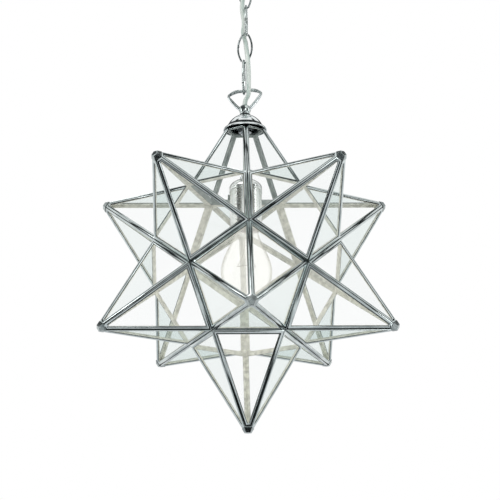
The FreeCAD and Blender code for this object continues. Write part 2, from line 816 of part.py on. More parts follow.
def build_ceiling():
    """Makes the bracket, the canopy cup, the loop with its collar, the nipple and the wiring."""
    thick = D.strap_thick
    height = D.drop - D.plate_level
    strap = [
        (-45.0, height),
        (-45.0, height - thick),
        (-27.0, height - thick),
        (-27.0, 0),
        (27.0, 0),
        (27.0, height - thick),
        (45.0, height - thick),
        (45.0, height),
        (25.0, height),
        (25.0, thick),
        (-25.0, thick),
        (-25.0, height),
    ]
    bracket = padded("bracket", "XZ_Plane", strap, D.strap_wide, midplane=True)
    doc.recompute()
    before = bracket.Shape.Volume
    sketch = sketch_on(bracket, "XY_Plane", "bracket_holes", height + 1)
    hole(sketch, (-D.screw_spacing / 2, 0), D.screw_hole)
    hole(sketch, (D.screw_spacing / 2, 0), D.screw_hole)
    hole(sketch, (0, 0), D.nipple_radius)
    drilled = bracket.newObject("PartDesign::Pocket", "bracket_drilled")
    drilled.Profile = sketch
    bound(drilled, Length=height + 2)
    doc.recompute()
    print("bracket volumes", round(before), round(bracket.Shape.Volume))
    keep(bracket, "ceiling_bracket", height=D.plate_level)

    wall = D.canopy_wall
    deep = D.drop - D.canopy_low - 0.3
    cup = turned(
        "cup",
        [
            (D.nipple_radius, 0),
            (D.canopy_radius - 4.0, 0),
            (D.canopy_radius - 1.2, 1.2),
            (D.canopy_radius, 4.0),
            (D.canopy_radius, deep),
            (D.canopy_radius - wall, deep),
            (D.canopy_radius - wall, 4.4),
            (D.canopy_radius - wall - 1.0, 2.2),
            (D.canopy_radius - 4.6, wall),
            (D.nipple_radius, wall),
        ],
    )
    keep(cup, "canopy_cup", height=D.canopy_low)

    rise = D.collar_level.value - D.hook_level.value
    bend = D.hook_radius.value
    bar = D.hook_wire.value
    legs = [
        Part.makeCylinder(bar, rise - bend + 1.0, Vector(0, side * bend, bend), UP)
        for side in (-1, 1)
    ]
    disc = Part.Face(Part.Wire([Part.Circle(Vector(0, -bend, bend), UP, bar).toShape()]))
    arch = disc.revolve(Vector(0, 0, bend), Vector(1, 0, 0), 180)
    collar = Part.makeCylinder(D.collar_radius.value, 5.0, Vector(0, 0, rise), UP)
    bore = Part.makeCylinder(D.nipple_radius.value, 8.0, Vector(0, 0, rise - 1.0), UP)
    eye = collar.fuse([arch] + legs).cut(bore).removeSplitter()
    shaped("loop_collar", eye, height=D.hook_level)

    nipple = turned(
        "nipple",
        [
            (D.nipple_bore, 0),
            (D.nipple_radius, 0),
            (D.nipple_radius, 23.0),
            (D.nipple_bore, 23.0),
        ],
    )
    keep(nipple, "threaded_nipple", height=D.collar_level + 1.0)
    nut = padded("nut", "XY_Plane", hexagon(17.0), 3.0, [((0, 0), D.nipple_radius)])
    doc.recompute()
    nuts = []
    for level in (D.canopy_low + wall, D.plate_level + thick):
        copy = nut.Shape.copy()
        copy.Placement = Placement(Vector(0, 0, level.value), Rotation())
        nuts.append(copy)
    shaped("nipple_nuts", Part.makeCompound(nuts))

    block_low = D.plate_level + thick
    body = block("block_body", 8.0, 14.0, 9.0, (0, 0, 0))
    ways = []
    for back in (3.5, 10.5):
        across = Rotation(Vector(0, 1, 0), 90)
        ways.append(rod(f"block_way_{back:.0f}", 1.6, 5.0, (-0.01, back, 4.0), across))
    terminal = cut("block_cut", body, fused("block_ways", ways))
    keep(terminal, "terminal_block", across=13.5, back=-7.0, height=block_low)
    wires = []
    for back in (-3.5, 3.5):
        route = [
            Vector(1.2, back * 0.3, 398.0),
            Vector(1.2, back * 0.3, 400.6),
            Vector(6.5, back * 0.7, 400.4),
            Vector(10.0, back, 395.2),
            Vector(13.4, back, 395.0),
        ]
        wires.append(pipe(route, 0.75)[0])
    shaped("lead_wires", Part.makeCompound(wires))


# ---------------------------------------------------------------- the lampholder and the bulb


def build_holder():
    """Makes the lampholder that hangs on the cable inside the star."""
    top = D.holder_top
    grip = turned(
        "grip",
        [
            (2.75, 0),
            (6.2, 0),
            (6.2, 3.0),
            (4.75, 3.4),
            (4.75, D.grip_top - top - 0.6),
            (4.2, D.grip_top - top),
            (2.75, D.grip_top - top),
        ],
    )
    keep(grip, "cable_grip", height=top)

    wall = 1.2
    shoulder = D.holder_shoulder
    rise = top - shoulder
    radius = D.holder_radius
    cover = turned(
        "cover",
        [
            (radius, 0),
            (radius, 1.2),
            (radius - 1.6, 4.6),
            (radius - 5.2, 8.2),
            (radius - 10.0, 10.6),
            (6.2, rise),
            (2.9, rise),
            (2.9, rise - wall),
            (6.2, rise - wall),
            (radius - 10.4, 10.6 - wall),
            (radius - 5.9, 8.2 - wall),
            (radius - 2.7, 4.6 - 0.8),
            (radius - wall, 0.6),
            (radius - wall, 0),
        ],
    )
    keep(cover, "holder_cover", height=shoulder)

    deep = shoulder - D.holder_low
    shell = turned(
        "holder",
        [
            (radius - 2.0, 0),
            (radius - 0.6, 0),
            (radius, 0.6),
            (radius, deep),
            (radius - 2.0, deep),
        ],
    )
    keep(shell, "holder_body", height=D.holder_low)

    insert = turned("insert", [(0, 0), (radius - 2.0, 0), (radius - 2.0, 9.0), (0, 9.0)])
    keep(insert, "holder_insert", height=76.0)
    thread = turned(
        "thread",
        [
            (D.shell_bore, 0),
            (D.shell_bore + 0.8, 0),
            (D.shell_bore + 0.8, 32.0),
            (D.shell_bore, 32.0),
        ],
    )
    keep(thread, "threaded_shell", height=44.0)
    contact = turned("contact", [(0, 0), (4.0, 0), (4.0, 1.0), (2.0, 4.0), (0, 4.0)])
    keep(contact, "centre_contact", height=72.0)


def bulb_envelope(name, radius, neck, level):
    """Returns the outer form of the bulb: a ball, a cone that touches it, and a short neck."""
    rise = D.neck_level - level
    gap = math.hypot(rise.value, neck.value)
    share = math.atan2(neck.value, rise.value) + math.acos(radius.value / gap)
    touch_radius = radius * math.sin(share)
    touch_level = radius * math.cos(share)
    pieces = [
        ball(name + "_ball", radius, (0, 0, level)),
        taper(name + "_cone", touch_radius, neck, rise - touch_level, (0, 0, level + touch_level)),
        rod(name + "_neck", neck, 1.0, (0, 0, D.neck_level)),
    ]
    return fused(name, pieces)


THREAD_PITCH = 3.6
THREAD_TURNS = 4
THREAD_START = 3.0
THREAD_DEEP = 0.9
STEM_LONG = 37.0


def build_bulb():
    """Makes the bulb."""
    wall = D.bulb_wall
    outside = bulb_envelope("bulb_outside", D.bulb_radius, D.neck_radius, D.bulb_level)
    inside = bulb_envelope("bulb_inside", D.bulb_radius - wall, D.neck_radius - wall, D.bulb_level)
    neck_bore = D.neck_radius - wall
    mouth = rod("bulb_mouth", neck_bore, 3.0, (0, 0, D.neck_level))
    glass = cut("bulb_shell", outside, fused("bulb_hollow", [inside, mouth]))
    keep(glass, "bulb_glass")

    start = D.neck_level + 1.0
    long = D.bulb_cap_top - start
    radius = D.bulb_cap_radius
    bore = radius - THREAD_DEEP - wall
    profile = [(bore, 0), (D.neck_radius, 0), (radius, 1.6)]
    for number in range(THREAD_TURNS):
        low = THREAD_START + number * THREAD_PITCH
        profile += [(radius, low), (radius - THREAD_DEEP, low + THREAD_PITCH / 2)]
    top = THREAD_START + THREAD_TURNS * THREAD_PITCH
    profile += [(radius, top), (radius - 1.6, long - 2.4), (6.0, long), (0, long)]
    profile += [(0, long - wall), (5.6, long - wall), (bore, long - 3.6)]
    cap = turned("screw_cap", profile)
    keep(cap, "bulb_cap", height=start)
    contact = turned("bulb_tip", [(0, 0), (4.6, 0), (4.6, 0.6), (3.4, 1.6), (0, 1.6)])
    keep(contact, "bulb_contact", height=D.bulb_cap_top)

    stem = turned(
        "stem_glass",
        [
            (0, 0),
            (2.0, 0.6),
            (3.2, 10.0),
            (4.4, 26.0),
            (neck_bore, STEM_LONG - 1.0),
            (neck_bore, STEM_LONG),
            (neck_bore - 1.2, STEM_LONG),
            (3.0, 27.0),
            (0, 26.0),
        ],
    )
    keep(stem, "bulb_stem", height=start - STEM_LONG)


# ---------------------------------------------------------------- the whole

build_star()
build_hinge()
build_hanger()
build_chain()
build_cable()
build_ceiling()
build_holder()
build_bulb()
doc.recompute()

faults = []
for item in doc.Objects:
    if "Invalid" in item.State or "Error" in item.State:
        faults.append(item.Name + " " + " ".join(item.State))
for piece in SUBPARTS:
    if piece.Shape.isNull() or not piece.Shape.isValid() or not piece.Shape.Solids:
        faults.append(piece.Label + " has no sound shape")
if faults:
    raise RuntimeError("; ".join(faults))

os.makedirs("parts", exist_ok=True)
for piece in SUBPARTS:
    piece.Shape.exportStep(f"parts/{piece.Label}.step")
print(len(SUBPARTS), "sub-parts")
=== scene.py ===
"""The looks of a moravian star pendant: framed glass spikes, woven chain and cable, cap and bulb.

Lengths are in metres in the frame's own axes, and in millimetres where a name ends in _mm. Heights in
millimetres are measured from the star's centre. Angles are in radians, or in degrees where a name ends
in _deg.
"""
import logging
import math
from dataclasses import dataclass, field
from enum import Enum

import bmesh
import bpy
from mathutils import Matrix, Vector


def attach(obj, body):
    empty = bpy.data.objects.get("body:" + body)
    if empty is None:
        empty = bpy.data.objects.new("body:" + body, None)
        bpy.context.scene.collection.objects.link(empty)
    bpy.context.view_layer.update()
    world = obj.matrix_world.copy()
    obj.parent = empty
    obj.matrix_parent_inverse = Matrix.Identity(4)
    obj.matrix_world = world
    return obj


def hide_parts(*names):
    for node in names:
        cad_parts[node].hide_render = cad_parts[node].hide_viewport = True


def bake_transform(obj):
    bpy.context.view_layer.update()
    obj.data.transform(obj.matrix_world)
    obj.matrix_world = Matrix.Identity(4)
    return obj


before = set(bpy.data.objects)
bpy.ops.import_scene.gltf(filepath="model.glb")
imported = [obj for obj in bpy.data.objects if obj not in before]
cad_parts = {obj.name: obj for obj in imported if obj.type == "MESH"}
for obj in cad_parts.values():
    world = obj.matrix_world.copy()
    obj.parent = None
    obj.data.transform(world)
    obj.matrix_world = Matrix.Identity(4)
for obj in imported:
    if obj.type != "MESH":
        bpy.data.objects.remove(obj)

LOG = logging.getLogger("star_pendant")
MM = 0.001
STAR_CENTRE = Vector((0.0, 0.0, -0.405))
GOLDEN = (1 + math.sqrt(5)) / 2
# The sine of a slanting spike's rise above the level, and of a pane's normal above its spike's base.
RISE = 1 / math.sqrt(5)
# Half the angle at a pane's tip, and half the angle that a side of the five-sided base spans.
HALF_TIP = math.radians(18)
HALF_SIDE = math.radians(36)
TAU = 2 * math.pi
# Most of a noise's values lie between these.
NOISE_LOW = 0.3
NOISE_HIGH = 0.7
# A fine skin's relief, in metres.
SKIN_DEPTH = 0.0001
# Edges that turn by more than this, in degrees, stay sharp.
TURNED_SHARP = 38
CHANNEL_SHARP = 48
TUBE_SHARP = 50

Point = tuple[float, float, float]
Profile = list[tuple[float, float]]


# ------------------------------------------------------------------ finishes


class Nodes:
    """The node tree of a material or of the world, with short ways to add and join its nodes."""

    def __init__(self, owner: bpy.types.Material | bpy.types.World) -> None:
        """Empties the tree of a material or of the world."""
        owner.use_nodes = True
        self.owner = owner
        self.tree = owner.node_tree
        self.tree.nodes.clear()

    def add(self, kind: str, **values: object) -> bpy.types.Node:
        """Adds a node.

        Args:
            kind: The node's type.
            values: Socket values by name, with underscores for spaces.

        Returns:
            The node.
        """
        node = self.tree.nodes.new(kind)
        for key, value in values.items():
            node.inputs[key.replace("_", " ")].default_value = value
        return node

    def join(self, source: bpy.types.NodeSocket, target: bpy.types.NodeSocket) -> None:
        """Joins two sockets."""
        self.tree.links.new(source, target)

    def arithmetic(self, operation: str, *terms: float | bpy.types.NodeSocket) -> bpy.types.NodeSocket:
        """Adds a calculation on numbers and sockets."""
        node = self.add("ShaderNodeMath")
        node.operation = operation
        for socket, term in zip(node.inputs, terms):
            if isinstance(term, bpy.types.NodeSocket):
                self.join(term, socket)
            else:
                socket.default_value = term
        return node.outputs["Value"]

    def noise(
        self, scale: float, detail: float = 3.0, stretch: Point = (1.0, 1.0, 1.0)
    ) -> bpy.types.NodeSocket:
        """Adds a noise in the object's own space.

        Args:
            scale: Cells to the metre.
            detail: Octaves of finer noise.
            stretch: Scale of each axis, for a drawn or brushed grain.

        Returns:
            The noise's factor.
        """
        place = self.add("ShaderNodeTexCoord")
        mapping = self.add("ShaderNodeMapping", Scale=stretch)
        self.join(place.outputs["Object"], mapping.inputs["Vector"])
        noise = self.add("ShaderNodeTexNoise", Scale=scale, Detail=detail)
        self.join(mapping.outputs["Vector"], noise.inputs["Vector"])
        return noise.outputs["Fac"]

    def between(self, factor: bpy.types.NodeSocket, low: float, high: float) -> bpy.types.NodeSocket:
        """Maps a noise's factor to a range."""
        span = self.add(
            "ShaderNodeMapRange", From_Min=NOISE_LOW, From_Max=NOISE_HIGH, To_Min=low, To_Max=high
        )
        self.join(factor, span.inputs["Value"])
        return span.outputs["Result"]

    def ramp(self, factor: bpy.types.NodeSocket, stops: list[tuple[float, Point]]) -> bpy.types.NodeSocket:
        """Maps a factor to a colour."""
        ramp = self.add("ShaderNodeValToRGB")
        elements = ramp.color_ramp.elements
        while len(elements) < len(stops):
            elements.new(0.5)
        for element, (place, colour) in zip(elements, stops):
            element.position = place
            element.color = (*colour, 1.0)
        self.join(factor, ramp.inputs["Fac"])
        return ramp.outputs["Color"]

    def bump(self, height: bpy.types.NodeSocket, strength: float, distance: float) -> bpy.types.NodeSocket:
        """Turns a height into a normal."""
        bump = self.add("ShaderNodeBump", Strength=strength, Distance=distance)
        self.join(height, bump.inputs["Height"])
        return bump.outputs["Normal"]

    def mix(
        self, share: bpy.types.NodeSocket, first: bpy.types.NodeSocket, second: bpy.types.NodeSocket
    ) -> bpy.types.NodeSocket:
        """Mixes two shaders; share is the second one's."""
        mix = self.add("ShaderNodeMixShader")
        self.join(share, mix.inputs["Fac"])
        self.join(first, mix.inputs[1])
        self.join(second, mix.inputs[2])
        return mix.outputs["Shader"]

    def finish(self, shader: bpy.types.NodeSocket) -> bpy.types.Material | bpy.types.World:
        """Joins the surface and gives the material or the world."""
        is_world = isinstance(self.owner, bpy.types.World)
        output = self.add("ShaderNodeOutputWorld" if is_world else "ShaderNodeOutputMaterial")
        self.join(shader, output.inputs["Surface"])
        return self.owner


@dataclass(frozen=True)
class PlatedMetal:
    """A plated or bare metal, with faint stains, uneven gloss and fine marks."""

    name: str
    light: Point
    dark: Point
    gloss: tuple[float, float]
    grain: float = 140.0
    stretch: Point = (1.0, 1.0, 1.0)
    relief: float = 0.05
    depth: float = SKIN_DEPTH
    stain_scale: float = 0.35
    mark_scale: float = 6.0

    def build(self) -> bpy.types.Material:
        """Builds the material."""
        nodes = Nodes(bpy.data.materials.new(self.name))
        shader = nodes.add("ShaderNodeBsdfPrincipled", Metallic=1.0)
        stain = nodes.noise(self.grain * self.stain_scale, 4.0)
        marks = nodes.noise(self.grain * self.mark_scale, 5.0, self.stretch)
        colour = nodes.ramp(stain, [(0.35, self.dark), (0.62, self.light)])
        nodes.join(colour, shader.inputs["Base Color"])
        nodes.join(nodes.between(marks, *self.gloss), shader.inputs["Roughness"])
        nodes.join(nodes.bump(marks, self.relief, self.depth), shader.inputs["Normal"])
        return nodes.finish(shader.outputs["BSDF"])


@dataclass(frozen=True)
class ClearFilm:
    """A thin clear sheet: it lets the light through, tints it, and mirrors a little of it.

    It mirrors head_on of the light when seen straight on, and edge_share more of it at its edge.
    """

    name: str
    tint: Point
    edge_tint: Point
    head_on: float = 0.04
    haze: float = 0.03
    glow: float = 0.0
    edge_share: float = 0.36
    steepness: float = 7.0
    glow_colour: Point = (1.0, 0.985, 0.94)

    def build(self) -> bpy.types.Material:
        """Builds the material."""
        nodes = Nodes(bpy.data.materials.new(self.name))
        ripple = nodes.noise(38.0, 2.0)
        facing = nodes.add("ShaderNodeLayerWeight", Blend=0.5)
        through = nodes.add("ShaderNodeBsdfTransparent")
        tint = nodes.ramp(facing.outputs["Facing"], [(0.5, self.tint), (0.92, self.edge_tint)])
        nodes.join(tint, through.inputs["Color"])
        mirror = nodes.add("ShaderNodeBsdfGlossy")
        nodes.join(nodes.between(ripple, self.haze * 0.5, self.haze), mirror.inputs["Roughness"])
        nodes.join(nodes.bump(ripple, 0.04, 0.0004), mirror.inputs["Normal"])
        steep = nodes.arithmetic("POWER", facing.outputs["Facing"], self.steepness)
        share = nodes.arithmetic("MULTIPLY_ADD", steep, self.edge_share, self.head_on)
        sheet = nodes.mix(share, through.outputs["BSDF"], mirror.outputs["BSDF"])
        if not self.glow:
            return nodes.finish(sheet)
        light = nodes.add("ShaderNodeEmission", Color=(*self.glow_colour, 1.0), Strength=self.glow)
        lit = nodes.add("ShaderNodeAddShader")
        nodes.join(sheet, lit.inputs[0])
        nodes.join(light.outputs["Emission"], lit.inputs[1])
        return nodes.finish(lit.outputs["Shader"])


@dataclass(frozen=True)
class Moulded:
    """A plastic or a ceramic, with a slight mottle and a fine skin; also the channels' inner faces, painted
    in the tones of their reflections and shade.
    """

    name: str
    light: Point
    dark: Point
    gloss: tuple[float, float]
    grain: float = 220.0
    relief: float = 0.12
    mottle_scale: float = 0.4
    skin_scale: float = 5.0

    def build(self) -> bpy.types.Material:
        """Builds the material."""
        nodes = Nodes(bpy.data.materials.new(self.name))
        shader = nodes.add("ShaderNodeBsdfPrincipled")
        mottle = nodes.noise(self.grain * self.mottle_scale, 3.0)
        skin = nodes.noise(self.grain * self.skin_scale, 4.0)
        colour = nodes.ramp(mottle, [(0.35, self.dark), (0.65, self.light)])
        nodes.join(colour, shader.inputs["Base Color"])
        nodes.join(nodes.between(skin, *self.gloss), shader.inputs["Roughness"])
        nodes.join(nodes.bump(skin, self.relief, SKIN_DEPTH), shader.inputs["Normal"])
        return nodes.finish(shader.outputs["BSDF"])


@dataclass(frozen=True)
class ClearSheath:
    """The cable's clear sheath, with the two cores showing through it as pale stripes."""

    name: str
    light: Point
    dark: Point
    cloudiness: float = 0.35

    def build(self) -> bpy.types.Material:
        """Builds the material."""
        nodes = Nodes(bpy.data.materials.new(self.name))
        shader = nodes.add("ShaderNodeBsdfPrincipled", Roughness=0.22, Coat_Weight=0.5, Coat_Roughness=0.06)
        cores = nodes.add("ShaderNodeAttribute")
        cores.attribute_name = "core"
        cloud = nodes.noise(160.0, 3.0, (1.0, 1.0, 0.2))
        mixed = nodes.arithmetic("MULTIPLY_ADD", cloud, self.cloudiness, cores.outputs["Fac"])
        colour = nodes.ramp(mixed, [(0.1, self.dark), (0.95, self.light)])
        nodes.join(colour, shader.inputs["Base Color"])
        nodes.join(nodes.bump(cloud, 0.08, 2 * SKIN_DEPTH), shader.inputs["Normal"])
        return nodes.finish(shader.outputs["BSDF"])


class Finish(Enum):
    """The finishes of the pendant."""

    CHANNEL = PlatedMetal("polished_channel", (0.61, 0.67, 0.665), (0.43, 0.485, 0.48), (0.05, 0.11))
    # Near-black painted shade along the two edges of each channel's crown, where paired channels meet.
    GROOVE = PlatedMetal("channel_edge_painted_shade", (0.06, 0.072, 0.075), (0.022, 0.028, 0.03), (0.25, 0.4), 220.0)
    SOLDER = PlatedMetal(
        "soldered_tip", (0.46, 0.51, 0.505), (0.2, 0.24, 0.24), (0.1, 0.22), 300.0, relief=0.4
    )
    # The channels' inner faces are painted reflections: warm on the lower spikes, dimmer on the upper ones,
    # and painted shade on the top one.
    INNER = Moulded("inner_face_painted_reflection", (0.9, 0.885, 0.775), (0.62, 0.61, 0.53), (0.3, 0.45), 420.0)
    INNER_UPPER = Moulded("inner_upper_painted_dim_reflection", (0.82, 0.81, 0.72), (0.56, 0.555, 0.49), (0.3, 0.45), 420.0)
    INNER_TOP = Moulded("inner_top_painted_shade", (0.44, 0.475, 0.45), (0.29, 0.325, 0.31), (0.3, 0.45), 300.0)
    # Near-black painted shade for the ring at the fold between the cap and its brim.
    FOLD = PlatedMetal("cap_fold_painted_shade", (0.03, 0.036, 0.038), (0.012, 0.015, 0.016), (0.3, 0.5), 200.0)
    SHADED = PlatedMetal("shaded_plate", (0.075, 0.09, 0.095), (0.03, 0.036, 0.04), (0.25, 0.4), 120.0)
    CAP = PlatedMetal("polished_cap", (0.8, 0.84, 0.84), (0.66, 0.71, 0.72), (0.04, 0.1), 90.0)
    HOLDER = PlatedMetal("polished_holder", (0.94, 0.96, 0.94), (0.84, 0.87, 0.85), (0.22, 0.3), 90.0)
    CASTING = PlatedMetal(
        "polished_casting", (0.56, 0.61, 0.6), (0.12, 0.15, 0.15), (0.15, 0.3), 900.0, relief=0.6, depth=0.001
    )
    # Painted shade on the faces of the bail arms that don't look outward and down; those faces take the
    # bright cap finish as painted highlight.
    ARM = PlatedMetal("casting_inner_side_painted_shade", (0.3, 0.34, 0.335), (0.17, 0.2, 0.195), (0.12, 0.25), 300.0)
    KNOB = PlatedMetal("polished_ball", (0.68, 0.74, 0.72), (0.46, 0.52, 0.51), (0.06, 0.14), 260.0)
    WIRE = PlatedMetal("plated_wire", (0.66, 0.71, 0.7), (0.42, 0.47, 0.46), (0.08, 0.16), 200.0)
    # A darker copy of the plated wire, for every other link.
    WIRE_DARK = PlatedMetal("plated_wire_darker", (0.3, 0.335, 0.335), (0.13, 0.155, 0.155), (0.1, 0.2), 200.0)
    SEAM = PlatedMetal("wire_seam", (0.1, 0.11, 0.11), (0.05, 0.06, 0.06), (0.4, 0.6), 300.0)
    ZINC = PlatedMetal("zinc_plated_steel", (0.62, 0.63, 0.65), (0.5, 0.52, 0.55), (0.25, 0.45), 160.0)
    NICKEL = PlatedMetal("nickel_plate", (0.7, 0.68, 0.62), (0.58, 0.56, 0.5), (0.18, 0.3), 160.0)
    BRASS = PlatedMetal("brass_contact", (0.72, 0.58, 0.3), (0.55, 0.42, 0.2), (0.2, 0.4), 200.0)
    PANE = ClearFilm("clear_pane", (0.991, 0.994, 0.9935), (0.85, 0.9, 0.888), head_on=0.004)
    BULB = ClearFilm("clear_envelope", (0.89, 0.89, 0.884), (0.76, 0.76, 0.74), head_on=0.008, glow=0.122)
    SHEATH = ClearSheath("clear_sheath", (0.64, 0.69, 0.635), (0.42, 0.52, 0.465))
    CERAMIC = Moulded("glazed_ceramic", (0.93, 0.92, 0.88), (0.86, 0.85, 0.8), (0.12, 0.25))
    TERMINAL = Moulded("terminal_moulding", (0.9, 0.9, 0.87), (0.82, 0.82, 0.78), (0.35, 0.5))
    INSULATION = Moulded("core_insulation", (0.32, 0.2, 0.12), (0.24, 0.15, 0.09), (0.35, 0.5))
    FILAMENT = PlatedMetal("drawn_filament", (0.6, 0.58, 0.53), (0.45, 0.43, 0.39), (0.3, 0.45), 400.0)

    @property
    def material(self) -> bpy.types.Material:
        """The finish's material, built on first use."""
        found = bpy.data.materials.get(self.value.name)
        return found or self.value.build()


# ------------------------------------------------------------------ mesh helpers


def at(height_mm: float) -> float:
    """Returns the Z of a height in millimetres above the star's centre."""
    return STAR_CENTRE.z + height_mm * MM


def dress(name: str, finish: Finish) -> None:
    """Gives a carried-over node its finish."""
    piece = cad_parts[name]
    piece.data.materials.clear()
    piece.data.materials.append(finish.material)


def piece_from(name: str, mesh: bpy.types.Mesh, finishes: list[Finish]) -> bpy.types.Object:
    """Makes an object of a mesh and gives it its finishes."""
    piece = bpy.data.objects.new(name, mesh)
    bpy.context.scene.collection.objects.link(piece)
    for finish in finishes:
        mesh.materials.append(finish.material)
    return piece


def mesh_of(name: str, bm: bmesh.types.BMesh, sharp_deg: float) -> bpy.types.Mesh:
    """Makes a mesh, smooth apart from the edges that turn by more than sharp_deg."""
    bmesh.ops.recalc_face_normals(bm, faces=bm.faces)
    mesh = bpy.data.meshes.new(name)
    bm.to_mesh(mesh)
    bm.free()
    mesh.shade_smooth()
    mesh.set_sharp_from_angle(angle=math.radians(sharp_deg))
    return mesh


def square(name: str, half: float, level: float = 0.0, parts: int = 1) -> bpy.types.Object:
    """Makes a level square of a given half width, for the floor and the cards."""
    bm = bmesh.new()
    place = Matrix.Translation((0.0, 0.0, level))
    bmesh.ops.create_grid(bm, x_segments=parts, y_segments=parts, size=half, matrix=place)
    mesh = bpy.data.meshes.new(name)
    bm.to_mesh(mesh)
    bm.free()
    piece = bpy.data.objects.new(name, mesh)
    bpy.context.scene.collection.objects.link(piece)
    return piece


def lathe(
    name: str,
    profile: Profile,
    foot_mm: float,
    finish: Finish,
    steps: int = 96,
    lining: Finish | None = None,
    lined_from: int = 0,
) -> bpy.types.Object:
    """Turns a closed section about the Z axis.

    Args:
        name: The piece's name.
        profile: Radius and height of the section's points in millimetres, in order.
        foot_mm: Height of the section's zero above the star's centre.
        finish: The finish.
        steps: Sides of the turned piece.
        lining: The finish of the inside, if it has its own.
        lined_from: The profile's point where the inside starts.

    Returns:
        The object.
    """
    bm = bmesh.new()
    rings = []
    for radius, height in profile:
        ring = []
        for step in range(steps):
            around = TAU * step / steps
            spot = (radius * MM * math.cos(around), radius * MM * math.sin(around), at(foot_mm + height))
            ring.append(bm.verts.new(spot))
        rings.append(ring)
    count = len(rings)
    for index in range(count):
        low, high = rings[index], rings[(index + 1) % count]
        for step in range(steps):
            after = (step + 1) % steps
            face = bm.faces.new((low[step], low[after], high[after], high[step]))
            face.material_index = 1 if lining and index >= lined_from else 0
    bmesh.ops.remove_doubles(bm, verts=bm.verts, dist=1e-7)
    return piece_from(name, mesh_of(name, bm, TURNED_SHARP), [finish, lining] if lining else [finish])


def eased(points: Profile, steps: int = 5) -> Profile:
    """Returns a curve through points, with more points between them.

    Args:
        points: The points.
        steps: Steps between two points.

    Returns:
        The points of a Catmull-Rom curve.
    """
    padded = [points[0], *points, points[-1]]
    curve: Profile = []
    for before, first, second, after in zip(padded, padded[1:], padded[2:], padded[3:]):
        for step in range(steps):
            share = step / steps
            spot = []
            for axis in range(2):
                a, b, c, d = before[axis], first[axis], second[axis], after[axis]
                spot.append(
                    b
                    + 0.5 * share * (c - a)
                    + share**2 * (a - 2.5 * b + 2 * c - 0.5 * d)
                    + share**3 * (1.5 * b - 0.5 * a - 1.5 * c + 0.5 * d)
                )
            curve.append((spot[0], spot[1]))
    curve.append(points[-1])
    return curve


def tube_mesh(name: str, path: list[Vector], radius: float | list[float], sides: int = 20) -> bpy.types.Mesh:
    """Makes a closed round tube along a path, which also marks the stripes of the cable's two cores.

    Args:
        name: The mesh's name.
        path: The points it follows.
        radius: Its radius, or a radius for each point.
        sides: Its sides.

    Returns:
        The mesh.
    """
    core_twist = 0.12
    bm = bmesh.new()
    core = bm.verts.layers.float.new("core")
    side_way = Vector((1, 0, 0))
    rings = []
    for index, spot in enumerate(path):
        before = path[max(index - 1, 0)]
        after = path[min(index + 1, len(path) - 1)]
        along = (after - before).normalized()
        side_way = (side_way - along * side_way.dot(along)).normalized()
        other = along.cross(side_way)
        reach = radius[index] if isinstance(radius, list) else radius
        ring = []
        for side in range(sides):
            around = TAU * side / sides
            corner = bm.verts.new(spot + (side_way * math.cos(around) + other * math.sin(around)) * reach)
            corner[core] = 0.5 + 0.5 * math.cos(2 * around + core_twist * index)
            ring.append(corner)
        rings.append(ring)
    for low, high in zip(rings, rings[1:]):
        for side in range(sides):
            after = (side + 1) % sides
            bm.faces.new((low[side], low[after], high[after], high[side]))
    bm.faces.new(rings[0][::-1])
    bm.faces.new(rings[-1])
    return mesh_of(name, bm, TUBE_SHARP)


def spline_path(name: str, route: list[Point], resolution: int) -> list[Vector]:
    """Returns the points of a smooth curve steered by a route.

    Args:
        name: A name for the curve.
        route: Its control points.
        resolution: Steps for each control point.

    Returns:
        The curve's points.
    """
    curve = bpy.data.curves.new(name, "CURVE")
    curve.dimensions = "3D"
    curve.resolution_u = resolution
    spline = curve.splines.new("NURBS")
    spline.points.add(len(route) - 1)
    for point, spot in zip(spline.points, route):
        point.co = (*spot, 1.0)
    spline.order_u = 3
    spline.use_endpoint_u = True
    guide = bpy.data.objects.new(name, curve)
    mesh = bpy.data.meshes.new_from_object(guide)
    path = [vertex.co.copy() for vertex in mesh.vertices]
    bpy.data.objects.remove(guide)
    bpy.data.curves.remove(curve)
    bpy.data.meshes.remove(mesh)
    return path


def path_length(path: list[Vector]) -> float:
    """Returns a path's length."""
    return sum((after - before).length for before, after in zip(path, path[1:]))


# ------------------------------------------------------------------ the camera and the studio


@dataclass(frozen=True)
class Lamp:
    """A soft lamp that faces the star.

    Its place is measured from the star's centre.
    """

    name: str
    away: Point
    width: float
    height: float
    watts: float


@dataclass(frozen=True)
class Card:
    """A black card that only mirrors see, as a studio hangs them for chrome.

    Azimuth 0 is the camera's side and 90 is +X. The distance is from the star's centre.
    """

    name: str
    azimuth_deg: float
    elevation_deg: float
    width: float
    height: float
    distance: float = 1.6


